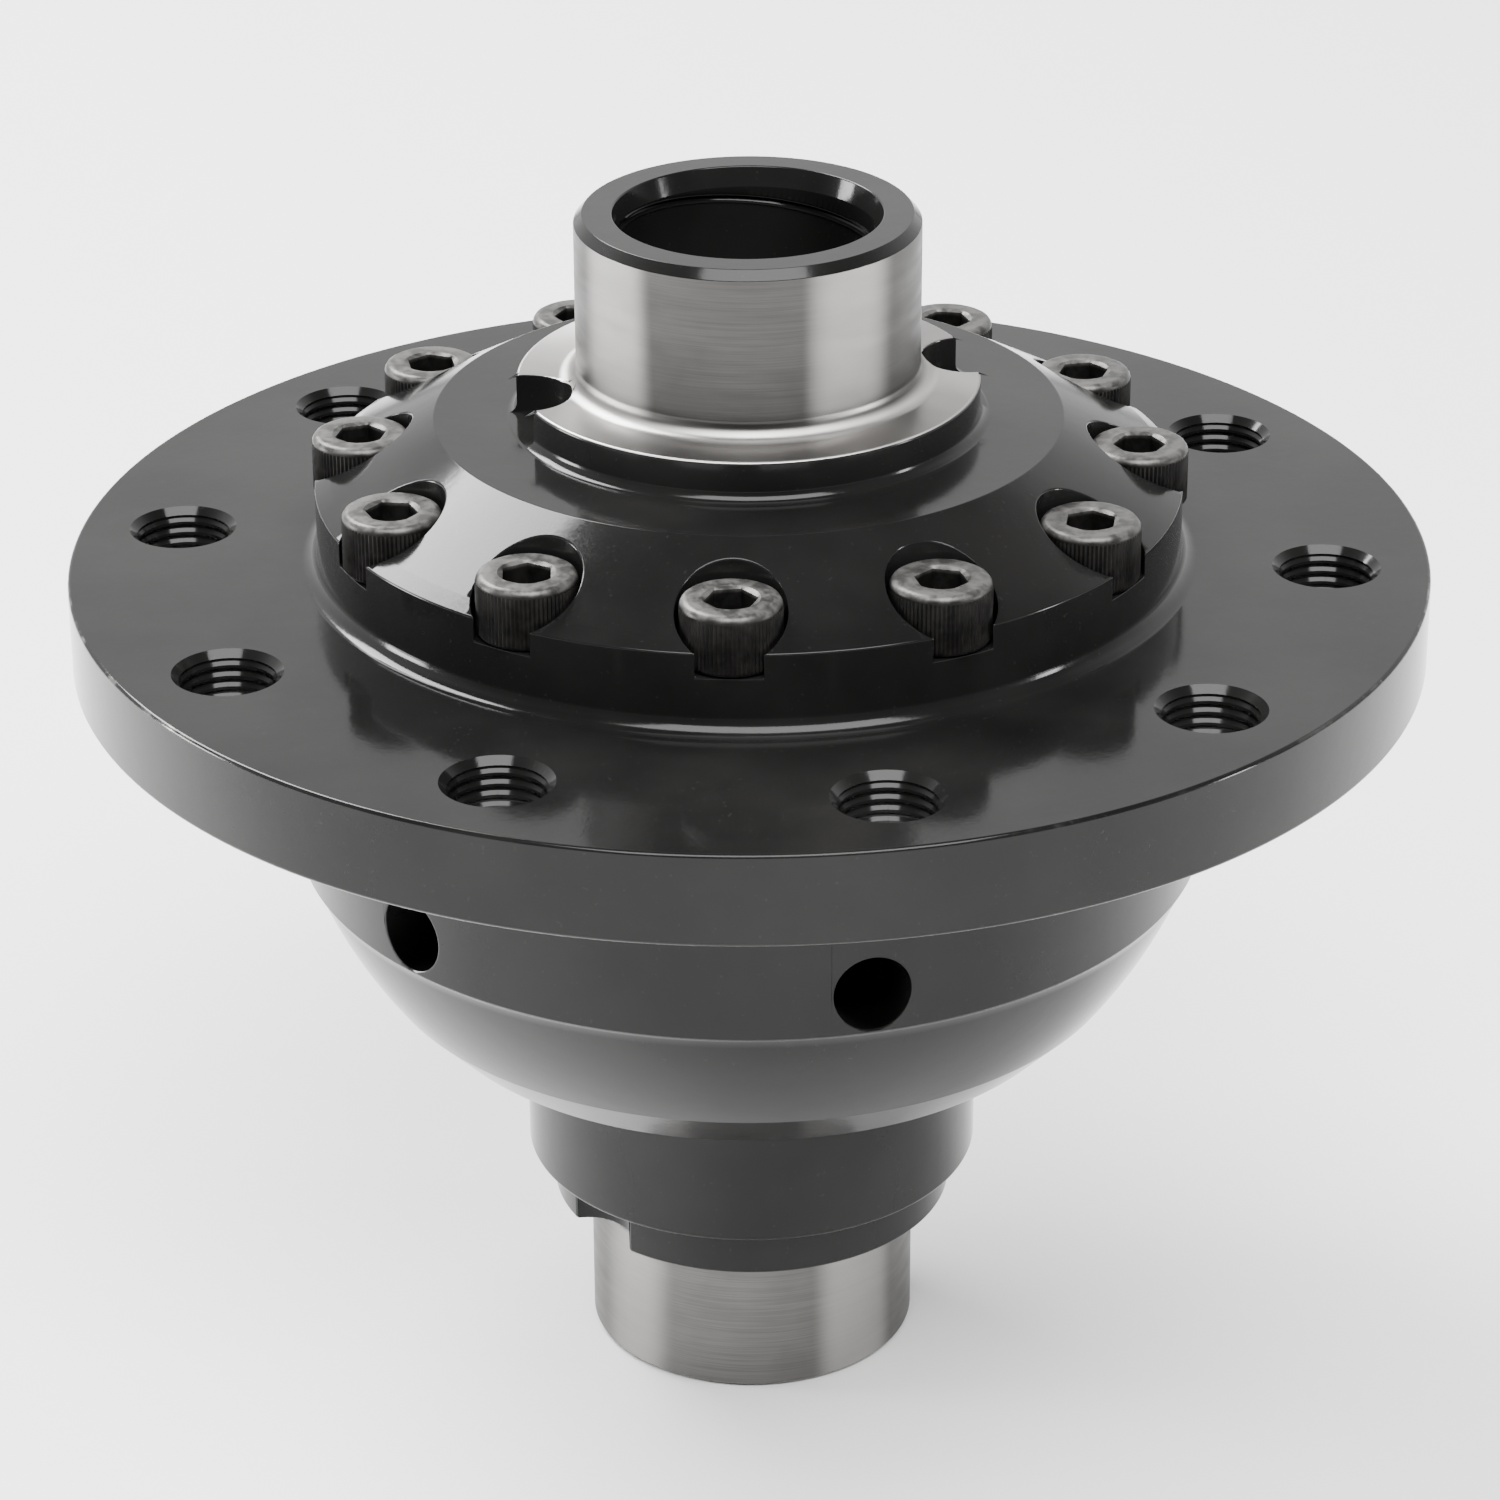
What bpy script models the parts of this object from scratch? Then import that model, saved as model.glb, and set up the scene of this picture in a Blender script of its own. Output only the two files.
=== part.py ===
"""Helical-gear limited-slip differential, standing on the end of its lower journal, +Z up its axis.

Units in the constants below are millimetres and degrees; MM turns them into metres.
"""

import math

import bmesh
import bpy
from mathutils import Matrix, Vector

MM = 0.001
GAP = 0.3  # running or seating gap between neighbouring pieces
CUT_PAST = 5.0  # how far a cutter runs past the face it opens

# Sides of the turned shells, the rings, and the cutters
TURN_STEPS = 32
RING_STEPS = 24
HOLE_SIDES = 10
RECESS_SIDES = 12
POCKET_SIDES = 14

# Journals, collars and bore
JOURNAL_R = 22.6
BORE_R = 16.75
BORE_MOUTH_R = 17.6
TOP_Z = 165.0
UPPER_SHOULDER_Z = 142.55
UPPER_COLLAR_R = 30.44
LOWER_SHOULDER_Z = 21.5
LOWER_COLLAR_R = 27.7
NECK_R = 31.2
NECK_Z = 28.6

# Flange and cover
FLANGE_R = 90.2
FLANGE_TOP_Z = 117.8
FLANGE_BASE_Z = 105.5
WALL_R = 57.3
WALL_TOP_Z = 128.4
CONE_LOW_R, CONE_LOW_Z = 56.0, 129.3
CONE_TOP_R, CONE_TOP_Z = 41.4, 137.3

# Case
BAND_R = 61.4
BAND_BASE_Z = 76.9
DOME_TOP_R, DOME_TOP_Z = 60.6, 76.1
DOME_BASE_R, DOME_BASE_Z = 51.6, 59.2
DOME_SAGITTA = 0.7
UNDERSIDE_R, UNDERSIDE_Z = 45.3, 52.8
REGISTER_R = 44.4
REGISTER_H = 2.5

# Ring-gear bolt holes in the flange
FLANGE_HOLE_COUNT = 10
FLANGE_HOLE_CIRCLE_R = 76.5
FLANGE_HOLE_R = 6.25
FLANGE_HOLE_MOUTH_R = 7.15
FLANGE_HOLE_PHASE = 18.0

# Case screws: M8 x 35 socket heads
SCREW_COUNT = 12
SCREW_CIRCLE_R = 51.4
SCREW_PHASE = 15.0
SCREW_HEAD_R = 6.5
SCREW_HEAD_H = 8.0
SCREW_SHANK_R = 4.0
SCREW_LENGTH = 35.0
HEX_ACROSS_FLATS = 6.0
HEX_DEPTH = 4.0
HEAD_SEAT_Z = 125.5
POCKET_R = 7.3
POCKET_CIRCLE_R = 51.2
SCREW_CLEARANCE_R = 4.5
SCREW_TAPPED_R = 4.3

# Oil holes through the case band
OIL_HOLE_COUNT = 6
OIL_HOLE_R = 5.0
OIL_HOLE_L = 30.0
OIL_HOLE_MID_R = 50.0
OIL_HOLE_Z = 82.4
OIL_HOLE_PHASE = 32.0

# Drive notches in the collars
NOTCH_R = 6.3
NOTCH_CIRCLE_R = 29.9
LOWER_NOTCH_PHASE = 28.0

# Gears
MODULE = 1.75
PINION_TEETH = 7
SIDE_TEETH = 30
PRESSURE_ANGLE = 25.0
HELIX_ANGLE = 10.0
TOOTH_THINNING = 0.58
PINION_ADDENDUM, PINION_DEDENDUM = 0.70, 1.08
SIDE_ADDENDUM, SIDE_DEDENDUM = 0.62, 0.95
PINION_LAYERS = 3
SIDE_LAYERS = 2
PAIR_COUNT = 6
PAIR_PHASE = 30.0
SPINDLE_R = 4.2
POCKET_BORE_R = 7.8
POCKET_OVERCUT = 0.2
CAVITY_R = 27.8
CAVITY_FLOOR_Z = 60.0
CAVITY_ROOF_Z = 122.0
HUB_R = 20.6
HUB_BORE_R = 21.0
HUB_H = 5.8
SPLINE_TEETH = 24
SPLINE_MINOR_R = 14.6
SPLINE_MAJOR_R = 15.9

# Thrust pieces
WASHER_T = 1.5
WASHER_R = 27.4
WASHER_BORE_R = 21.4
SIDE_FACE = 21.0
CENTRE_R = 24.0
CENTRE_BORE_R = 15.5
SPRING_R = 23.0
SPRING_BORE_R = 16.2
SPRING_T = 0.8
SPRING_CONE_H = 0.6
PINION_END_GAP = 0.5

PINION_PITCH_R = MODULE * PINION_TEETH / 2
SIDE_PITCH_R = MODULE * SIDE_TEETH / 2
PINION_CIRCLE_R = PINION_PITCH_R + SIDE_PITCH_R
PAIR_HALF_ANGLE = math.degrees(math.asin(PINION_PITCH_R / PINION_CIRCLE_R))
MID_Z = (CAVITY_FLOOR_Z + CAVITY_ROOF_Z) / 2
SIDE_OUTER_OFFSET = (CAVITY_ROOF_Z - CAVITY_FLOOR_Z) / 2 - WASHER_T - 2 * GAP
SIDE_INNER_OFFSET = SIDE_OUTER_OFFSET - SIDE_FACE
CASE_TOP_Z = FLANGE_BASE_Z  # the case sits in a shallow recess of the flange's underside

MATERIALS = {
    "black_coated": ((0.020, 0.020, 0.020), 0.32, 0.55),
    "ground_steel": ((0.46, 0.45, 0.44), 0.35, 1.0),
    "black_oxide": ((0.045, 0.043, 0.042), 0.42, 0.8),
    "gear_steel": ((0.30, 0.29, 0.28), 0.36, 1.0),
    "hardened_steel": ((0.36, 0.35, 0.34), 0.30, 1.0),
    "spring_steel": ((0.22, 0.23, 0.25), 0.28, 1.0),
}


def clear_scene():
    for obj in list(bpy.data.objects):
        bpy.data.objects.remove(obj)


def new_collection(name):
    collection = bpy.data.collections.new(name)
    bpy.context.scene.collection.children.link(collection)
    return collection


def make_material(name):
    color, roughness, metallic = MATERIALS[name]
    material = bpy.data.materials.new(name)
    material.use_nodes = True
    shader = material.node_tree.nodes["Principled BSDF"]
    shader.inputs["Base Color"].default_value = (*color, 1.0)
    shader.inputs["Roughness"].default_value = roughness
    shader.inputs["Metallic"].default_value = metallic
    return material


def polar(radius, angle, z=0.0):
    """A point in metres from a radius and height in millimetres and an angle in degrees."""
    turn = math.radians(angle)
    return Vector((radius * math.cos(turn), radius * math.sin(turn), z)) * MM


def add_object(name, mesh, collection, material=None):
    obj = bpy.data.objects.new(name, mesh)
    collection.objects.link(obj)
    if material:
        mesh.materials.clear()
        mesh.materials.append(material)
    return obj


def make_cutter(obj):
    obj.hide_render = True
    obj.display_type = "WIRE"
    return obj


def arc_points(start, end, sagitta, count):
    """Points strictly between two (r, z) points on the circular arc that bulges by sagitta to its left."""
    chord = Vector((end[0] - start[0], end[1] - start[1]))
    bulge = Vector((-chord.y, chord.x)).normalized()
    radius = chord.length ** 2 / (8 * sagitta) + sagitta / 2
    middle = Vector(start) + chord / 2
    centre = middle - bulge * (radius - sagitta)
    half_angle = math.asin(chord.length / 2 / radius)
    points = []
    for i in range(1, count + 1):
        angle = half_angle * (2 * i / (count + 1) - 1)
        along = chord.normalized() * math.sin(angle) * radius
        points.append(tuple(centre + bulge * math.cos(angle) * radius + along))
    return points


def turned(name, profile, steps, collection, material=None):
    """A closed (r, z) profile, its outer side running downwards, turned a full circle about Z."""
    mesh = bpy.data.meshes.new(name)
    edges = [(i, (i + 1) % len(profile)) for i in range(len(profile))]
    mesh.from_pydata([(r * MM, 0.0, z * MM) for r, z in profile], edges, [])
    obj = add_object(name, mesh, collection, material)
    screw = obj.modifiers.new("turn", "SCREW")
    screw.steps = steps
    screw.render_steps = steps
    screw.use_merge_vertices = True
    screw.merge_threshold = 0.00001
    return obj


def ring(name, outer_r, inner_r, low_z, high_z, collection, material):
    profile = [(outer_r, high_z), (outer_r, low_z), (inner_r, low_z), (inner_r, high_z)]
    return turned(name, profile, RING_STEPS, collection, material)


def rod_cutter(name, radius, low_z, high_z, place, collection, sides=HOLE_SIDES, end_radius=None):
    """An upright cylinder or cone between two heights, its axis at place (metres)."""
    mesh = bpy.data.meshes.new(name)
    shape = bmesh.new()
    bmesh.ops.create_cone(
        shape,
        cap_ends=True,
        segments=sides,
        radius1=radius * MM,
        radius2=(end_radius or radius) * MM,
        depth=(high_z - low_z) * MM,
    )
    shape.to_mesh(mesh)
    shape.free()
    obj = make_cutter(add_object(name, mesh, collection))
    obj.location = (place.x, place.y, (low_z + high_z) / 2 * MM)
    return obj


def boolean(obj, operation, operand):
    modifier = obj.modifiers.new(operation.lower(), "BOOLEAN")
    modifier.operation = operation
    if isinstance(operand, bpy.types.Collection):
        modifier.operand_type = "COLLECTION"
        modifier.collection = operand
    else:
        modifier.object = operand


def smooth(mesh, angle=35.0):
    mesh.shade_smooth()
    mesh.set_sharp_from_angle(angle=math.radians(angle))


def apply_modifiers(obj):
    """Replaces the object's mesh with its evaluated one, so that it can be shared."""
    graph = bpy.context.evaluated_depsgraph_get()
    mesh = bpy.data.meshes.new_from_object(obj.evaluated_get(graph))
    obj.modifiers.clear()
    obj.data = mesh
    smooth(mesh)
    return mesh


# Gear geometry


def involute(angle):
    return math.tan(angle) - angle


def half_tooth_angle(teeth, radius):
    """Half the angle, in radians, that one tooth fills at this radius."""
    pitch_r = MODULE * teeth / 2
    pressure = math.radians(PRESSURE_ANGLE)
    base_r = pitch_r * math.cos(pressure)
    at_pitch = math.pi / (2 * teeth) - TOOTH_THINNING / (2 * pitch_r)
    if radius <= base_r:
        return at_pitch + involute(pressure)
    return at_pitch + involute(pressure) - involute(math.acos(base_r / radius))


def pinion_outline():
    """Five points a tooth: the gap's bottom, a flank at the pitch circle, the two tip corners, a flank."""
    root_r = PINION_PITCH_R - PINION_DEDENDUM * MODULE
    tip_r = PINION_PITCH_R + PINION_ADDENDUM * MODULE
    pitch_half = half_tooth_angle(PINION_TEETH, PINION_PITCH_R)
    tip_half = half_tooth_angle(PINION_TEETH, tip_r)
    points = []
    for i in range(PINION_TEETH):
        middle = 2 * math.pi * i / PINION_TEETH
        points.append((root_r, middle - math.pi / PINION_TEETH))
        points.append((PINION_PITCH_R, middle - pitch_half))
        points.append((tip_r, middle - tip_half))
        points.append((tip_r, middle + tip_half))
        points.append((PINION_PITCH_R, middle + pitch_half))
    return points


def side_gear_outline():
    """Four points a tooth: two root corners and two tip corners."""
    root_r = SIDE_PITCH_R - SIDE_DEDENDUM * MODULE
    tip_r = SIDE_PITCH_R + SIDE_ADDENDUM * MODULE
    root_half = half_tooth_angle(SIDE_TEETH, root_r)
    tip_half = half_tooth_angle(SIDE_TEETH, tip_r)
    points = []
    for i in range(SIDE_TEETH):
        middle = 2 * math.pi * i / SIDE_TEETH
        points.append((root_r, middle - root_half))
        points.append((tip_r, middle - tip_half))
        points.append((tip_r, middle + tip_half))
        points.append((root_r, middle + root_half))
    return points


def spline_outline():
    """Straight-sided internal spline teeth, as the outline of the hollow."""
    pitch = 2 * math.pi / SPLINE_TEETH
    points = []
    for i in range(SPLINE_TEETH):
        middle = pitch * i
        points.append((SPLINE_MINOR_R, middle - 0.30 * pitch))
        points.append((SPLINE_MAJOR_R, middle - 0.20 * pitch))
        points.append((SPLINE_MAJOR_R, middle + 0.20 * pitch))
        points.append((SPLINE_MINOR_R, middle + 0.30 * pitch))
    return points


def outline_face(shape, outline, z, turn):
    """A flat n-gon facing down, from an outline of (radius, angle in radians)."""
    corners = []
    for radius, angle in reversed(outline):
        corners.append(shape.verts.new(polar(radius, math.degrees(angle + turn), z)))
    return shape.faces.new(corners)


def extrude_up(shape, face, rise, twist=0.0, keep=False):
    """Extrudes a cap face upwards by rise, turning it by twist radians, and returns the new cap."""
    made = bmesh.ops.extrude_face_region(shape, geom=[face])["geom"]
    if not keep:
        bmesh.ops.delete(shape, geom=[face], context="FACES_ONLY")
    cap = next(item for item in made if isinstance(item, bmesh.types.BMFace))
    move = Matrix.Translation((0.0, 0.0, rise * MM)) @ Matrix.Rotation(twist, 4, "Z")
    bmesh.ops.transform(shape, matrix=move, verts=cap.verts)
    return cap


def prism(name, outline, low_z, high_z, layers=1, twist_rate=0.0):
    """A toothed prism whose outline turns by twist_rate radians a millimetre, at angle 0 on z = MID_Z."""
    mesh = bpy.data.meshes.new(name)
    shape = bmesh.new()
    cap = outline_face(shape, outline, low_z, twist_rate * (low_z - MID_Z))
    rise = (high_z - low_z) / layers
    for i in range(layers):
        cap = extrude_up(shape, cap, rise, twist_rate * rise, keep=i == 0)
    bmesh.ops.recalc_face_normals(shape, faces=shape.faces[:])
    shape.to_mesh(mesh)
    shape.free()
    return mesh


def twist_rate(teeth, hand):
    """Radians a millimetre for a helical gear of this many teeth; hand is +1 or -1."""
    return hand * math.tan(math.radians(HELIX_ANGLE)) / (MODULE * teeth / 2)


# The pieces


def make_case(parts, pockets, cutters, material):
    dome = arc_points((DOME_TOP_R, DOME_TOP_Z), (DOME_BASE_R, DOME_BASE_Z), DOME_SAGITTA, 2)
    hub_floor = CAVITY_FLOOR_Z - HUB_H + 2 * GAP + WASHER_T
    profile = [
        (REGISTER_R, CASE_TOP_Z + REGISTER_H),
        (REGISTER_R, CASE_TOP_Z),
        (BAND_R, CASE_TOP_Z),
        (BAND_R, BAND_BASE_Z),
        (DOME_TOP_R, DOME_TOP_Z),
        *dome,
        (DOME_BASE_R, DOME_BASE_Z),
        (UNDERSIDE_R, UNDERSIDE_Z),
        (NECK_R, UNDERSIDE_Z),
        (NECK_R, NECK_Z + 0.6),
        (NECK_R - 0.6, NECK_Z),
        (LOWER_COLLAR_R, NECK_Z),
        (LOWER_COLLAR_R, LOWER_SHOULDER_Z + 0.4),
        (LOWER_COLLAR_R - 0.4, LOWER_SHOULDER_Z),
        (JOURNAL_R + 1.0, LOWER_SHOULDER_Z),
        (JOURNAL_R, LOWER_SHOULDER_Z - 1.5),
        (JOURNAL_R, 0.5),
        (JOURNAL_R - 0.5, 0.0),
        (BORE_R + 0.6, 0.0),
        (BORE_R, 1.5),
        (BORE_R, hub_floor - GAP),
        (HUB_BORE_R, hub_floor - GAP),
        (HUB_BORE_R, CAVITY_FLOOR_Z),
        (CAVITY_R, CAVITY_FLOOR_Z),
        (CAVITY_R, CASE_TOP_Z + REGISTER_H),
    ]
    case = turned("case", profile, TURN_STEPS, parts, material)
    hole_bottom = HEAD_SEAT_Z - SCREW_LENGTH - 1.0
    hole_top = CASE_TOP_Z + CUT_PAST
    for i in range(SCREW_COUNT):
        place = polar(SCREW_CIRCLE_R, SCREW_PHASE + 360 / SCREW_COUNT * i)
        rod_cutter(f"case_screw_hole_{i}", SCREW_TAPPED_R, hole_bottom, hole_top, place, cutters)
    notch_bottom = LOWER_SHOULDER_Z - CUT_PAST
    for i in range(2):
        place = polar(NOTCH_CIRCLE_R, LOWER_NOTCH_PHASE + 180 * i)
        rod_cutter(f"lower_notch_{i}", NOTCH_R, notch_bottom, NECK_Z - 0.01, place, cutters, RECESS_SIDES)
    for i in range(OIL_HOLE_COUNT):
        angle = OIL_HOLE_PHASE + 360 / OIL_HOLE_COUNT * i
        half = OIL_HOLE_L / 2
        hole = rod_cutter(f"oil_hole_{i}", OIL_HOLE_R, -half, half, Vector(), cutters, RECESS_SIDES)
        hole.location = polar(OIL_HOLE_MID_R, angle, OIL_HOLE_Z)
        hole.rotation_euler = (0.0, math.pi / 2, math.radians(angle))
    boolean(case, "DIFFERENCE", pockets)
    boolean(case, "DIFFERENCE", cutters)
    apply_modifiers(case)


def make_cover(parts, pockets, holes, recesses, material):
    """holes go right through; recesses are the wider cuts at their mouths, taken in a second pass."""
    hub_roof = CAVITY_ROOF_Z + HUB_H - 2 * GAP - WASHER_T + GAP
    seat_roof = CASE_TOP_Z + GAP
    register_roof = seat_roof + REGISTER_H
    profile = [
        (JOURNAL_R - 1.1, TOP_Z),
        (JOURNAL_R, TOP_Z - 1.2),
        (JOURNAL_R, UPPER_SHOULDER_Z + 2.4),
        (JOURNAL_R + 0.8, UPPER_SHOULDER_Z + 0.7),
        (JOURNAL_R + 2.7, UPPER_SHOULDER_Z),
        (UPPER_COLLAR_R - 0.5, UPPER_SHOULDER_Z),
        (UPPER_COLLAR_R, UPPER_SHOULDER_Z - 0.5),
        (UPPER_COLLAR_R, CONE_TOP_Z + 1.3),
        (UPPER_COLLAR_R + 1.3, CONE_TOP_Z),
        (CONE_TOP_R, CONE_TOP_Z),
        (CONE_LOW_R, CONE_LOW_Z),
        (WALL_R, WALL_TOP_Z),
        (WALL_R, FLANGE_TOP_Z + 2.2),
        (WALL_R + 0.6, FLANGE_TOP_Z + 0.6),
        (WALL_R + 2.2, FLANGE_TOP_Z),
        (FLANGE_R - 0.5, FLANGE_TOP_Z),
        (FLANGE_R, FLANGE_TOP_Z - 0.5),
        (FLANGE_R, FLANGE_BASE_Z + 0.5),
        (FLANGE_R - 0.5, FLANGE_BASE_Z),
        (BAND_R + GAP, FLANGE_BASE_Z),
        (BAND_R + GAP, seat_roof),
        (REGISTER_R + GAP, seat_roof),
        (REGISTER_R + GAP, register_roof),
        (CAVITY_R, register_roof),
        (CAVITY_R, CAVITY_ROOF_Z),
        (HUB_BORE_R, CAVITY_ROOF_Z),
        (HUB_BORE_R, hub_roof),
        (BORE_R, hub_roof),
        (BORE_R, TOP_Z - 2.6),
        (BORE_MOUTH_R, TOP_Z),
    ]
    cover = turned("cover", profile, TURN_STEPS, parts, material)
    below = FLANGE_BASE_Z - CUT_PAST
    above = CONE_TOP_Z + CUT_PAST
    pocket_floor = HEAD_SEAT_Z - GAP
    for i in range(SCREW_COUNT):
        angle = SCREW_PHASE + 360 / SCREW_COUNT * i
        place = polar(POCKET_CIRCLE_R, angle)
        rod_cutter(f"screw_pocket_{i}", POCKET_R, pocket_floor, above, place, recesses, RECESS_SIDES)
        place = polar(SCREW_CIRCLE_R, angle)
        rod_cutter(f"cover_screw_hole_{i}", SCREW_CLEARANCE_R, below, above, place, holes)
    for i in range(FLANGE_HOLE_COUNT):
        place = polar(FLANGE_HOLE_CIRCLE_R, FLANGE_HOLE_PHASE + 360 / FLANGE_HOLE_COUNT * i)
        rod_cutter(f"flange_hole_{i}", FLANGE_HOLE_R, below, FLANGE_TOP_Z + CUT_PAST, place, holes)
        depth = FLANGE_HOLE_MOUTH_R - FLANGE_HOLE_R
        rod_cutter(
            f"flange_hole_mouth_{i}",
            FLANGE_HOLE_R - 0.1,
            FLANGE_TOP_Z - depth - 0.1,
            FLANGE_TOP_Z + 1.0,
            place,
            recesses,
            HOLE_SIDES,
            FLANGE_HOLE_MOUTH_R + 1.0,
        )
    notch_floor = CONE_TOP_Z + 0.1
    notch_top = UPPER_SHOULDER_Z + CUT_PAST
    for i in range(2):
        place = polar(NOTCH_CIRCLE_R, 180 * i)
        rod_cutter(f"upper_notch_{i}", NOTCH_R, notch_floor, notch_top, place, recesses, RECESS_SIDES)
    boolean(cover, "DIFFERENCE", pockets)
    boolean(cover, "DIFFERENCE", holes)
    boolean(cover, "DIFFERENCE", recesses)
    apply_modifiers(cover)


def make_pinion_pockets(pockets):
    """The same lobes are bored in the case and in the cover, a little past the cavity's floor and roof."""
    low_z = CAVITY_FLOOR_Z - POCKET_OVERCUT
    high_z = CAVITY_ROOF_Z + POCKET_OVERCUT
    for i in range(PAIR_COUNT):
        for side in (-1, 1):
            place = polar(PINION_CIRCLE_R, pair_angle(i) + side * PAIR_HALF_ANGLE)
            name = f"pinion_pocket_{i}_{'a' if side < 0 else 'b'}"
            rod_cutter(name, POCKET_BORE_R, low_z, high_z, place, pockets, POCKET_SIDES)


def make_screws(parts, cutters, material):
    """Twelve socket-head cap screws that share one mesh, each with its own origin at its head seat."""
    chamfer = 0.5
    profile = [
        (0.0, SCREW_HEAD_H),
        (SCREW_HEAD_R - chamfer, SCREW_HEAD_H),
        (SCREW_HEAD_R, SCREW_HEAD_H - chamfer),
        (SCREW_HEAD_R, 0.0),
        (SCREW_SHANK_R, 0.0),
        (SCREW_SHANK_R, 1.0 - SCREW_LENGTH),
        (SCREW_SHANK_R - 1.0, -SCREW_LENGTH),
        (0.0, -SCREW_LENGTH),
    ]
    pattern = turned("cap_screw_01", profile, 12, parts, material)
    hex_r = HEX_ACROSS_FLATS / 2 / math.cos(math.pi / 6)
    hex_floor = SCREW_HEAD_H - HEX_DEPTH
    socket = rod_cutter("hex_socket", hex_r, hex_floor, 12, Vector(), cutters, 6)
    boolean(pattern, "DIFFERENCE", socket)
    mesh = apply_modifiers(pattern)
    for i in range(SCREW_COUNT):
        screw = pattern if i == 0 else add_object(f"cap_screw_{i + 1:02d}", mesh, parts)
        screw.location = polar(SCREW_CIRCLE_R, SCREW_PHASE + 360 / SCREW_COUNT * i, HEAD_SEAT_Z)


def make_side_gear(name, side, phase, parts, cutters, material):
    """side is +1 for the upper gear and -1 for the lower; the hub points away from the middle."""
    zs = sorted((MID_Z + side * SIDE_OUTER_OFFSET, MID_Z + side * SIDE_INNER_OFFSET))
    rate = twist_rate(SIDE_TEETH, -side)
    mesh = prism(name, side_gear_outline(), zs[0], zs[1], SIDE_LAYERS, rate)
    gear = add_object(name, mesh, parts, material)
    hub_end = MID_Z + side * (SIDE_OUTER_OFFSET + HUB_H)
    hub_root = MID_Z + side * (SIDE_OUTER_OFFSET - 2.0)
    low_z, high_z = sorted((hub_end, hub_root))
    hub = rod_cutter(f"{name}_hub", HUB_R, low_z, high_z, Vector(), cutters, 32)
    boolean(gear, "UNION", hub)
    bore = prism(f"{name}_spline", spline_outline(), CAVITY_FLOOR_Z - 20, CAVITY_ROOF_Z + 20)
    boolean(gear, "DIFFERENCE", make_cutter(add_object(f"{name}_spline", bore, cutters)))
    apply_modifiers(gear)
    gear.rotation_euler.z = phase
    return gear


def pinion_mesh(name, side):
    """side +1: toothed from above the lower side gear to the roof, a plain spindle below; -1: mirrored."""
    tooth_far = (CAVITY_ROOF_Z - CAVITY_FLOOR_Z) / 2 - 2.0
    tooth_near = SIDE_INNER_OFFSET - 0.9
    spindle_far = (CAVITY_ROOF_Z - CAVITY_FLOOR_Z) / 2 - PINION_END_GAP
    low_z, high_z = sorted((MID_Z + side * tooth_far, MID_Z - side * tooth_near))
    rate = twist_rate(PINION_TEETH, side)
    mesh = prism(name, pinion_outline(), low_z, high_z, PINION_LAYERS, rate)
    shape = bmesh.new()
    shape.from_mesh(mesh)
    shape.faces.ensure_lookup_table()
    end_z = (low_z if side > 0 else high_z) * MM
    cap = next(f for f in shape.faces if all(abs(v.co.z - end_z) < 1e-6 for v in f.verts))
    bmesh.ops.inset_individual(shape, faces=[cap], thickness=0.0, use_even_offset=False)
    for vert in cap.verts:
        flat = Vector((vert.co.x, vert.co.y, 0.0))
        flat.length = SPINDLE_R * MM
        vert.co = (flat.x, flat.y, end_z)
    length = MID_Z - side * spindle_far - end_z / MM
    extrude_up(shape, cap, length)
    bmesh.ops.recalc_face_normals(shape, faces=shape.faces[:])
    shape.to_mesh(mesh)
    shape.free()
    smooth(mesh)
    return mesh


def pair_angle(i):
    return PAIR_PHASE + 360 / PAIR_COUNT * i


def mesh_phase(place_angle, side_phase):
    """The turn, in radians, that puts a pinion's gap on the side gear's tooth along their centre line."""
    line = math.radians(place_angle)
    remainder = math.pi - SIDE_TEETH * (side_phase - line)
    return line + math.pi + remainder / PINION_TEETH


def make_gears(parts, cutters, side_material, pinion_material):
    phases = {1: 0.0, -1: math.pi / SIDE_TEETH}
    make_side_gear("upper_side_gear", 1, phases[1], parts, cutters, side_material)
    make_side_gear("lower_side_gear", -1, phases[-1], parts, cutters, side_material)
    for letter, side in (("a", 1), ("b", -1)):
        mesh = pinion_mesh(f"pinion_{letter}", side)
        mesh.materials.append(pinion_material)
        for i in range(PAIR_COUNT):
            angle = pair_angle(i) - side * PAIR_HALF_ANGLE
            pinion = add_object(f"pinion_{letter}_{i + 1}", mesh, parts)
            pinion.location = polar(PINION_CIRCLE_R, angle)
            pinion.rotation_euler.z = mesh_phase(angle, phases[side])


def make_thrust_pieces(parts, washer_material, spring_material, block_material):
    for name, side in (("upper", 1), ("lower", -1)):
        near = CAVITY_ROOF_Z - GAP if side > 0 else CAVITY_FLOOR_Z + GAP
        zs = sorted((near, near - side * WASHER_T))
        ring(f"{name}_thrust_washer", WASHER_R, WASHER_BORE_R, *zs, parts, washer_material)
        edge = MID_Z + side * (SIDE_INNER_OFFSET - GAP)
        zs = sorted((edge, edge - side * WASHER_T))
        ring(f"{name}_centre_washer", CENTRE_R, CENTRE_BORE_R, *zs, parts, washer_material)
        outer = edge - side * (WASHER_T + GAP)
        inner = outer - side * (SPRING_T + SPRING_CONE_H)
        low_z, high_z = sorted((outer, inner))
        rim = (SPRING_R, low_z) if side > 0 else (SPRING_R, high_z - SPRING_T)
        eye = (SPRING_BORE_R, high_z - SPRING_T) if side > 0 else (SPRING_BORE_R, low_z)
        profile = [(rim[0], rim[1] + SPRING_T), rim, eye, (eye[0], eye[1] + SPRING_T)]
        turned(f"{name}_disc_spring", profile, RING_STEPS, parts, spring_material)
        if side > 0:
            block_half = inner - GAP - MID_Z
            block_zs = (MID_Z - block_half, MID_Z + block_half)
            ring("centre_block", CENTRE_R, CENTRE_BORE_R, *block_zs, parts, block_material)


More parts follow.
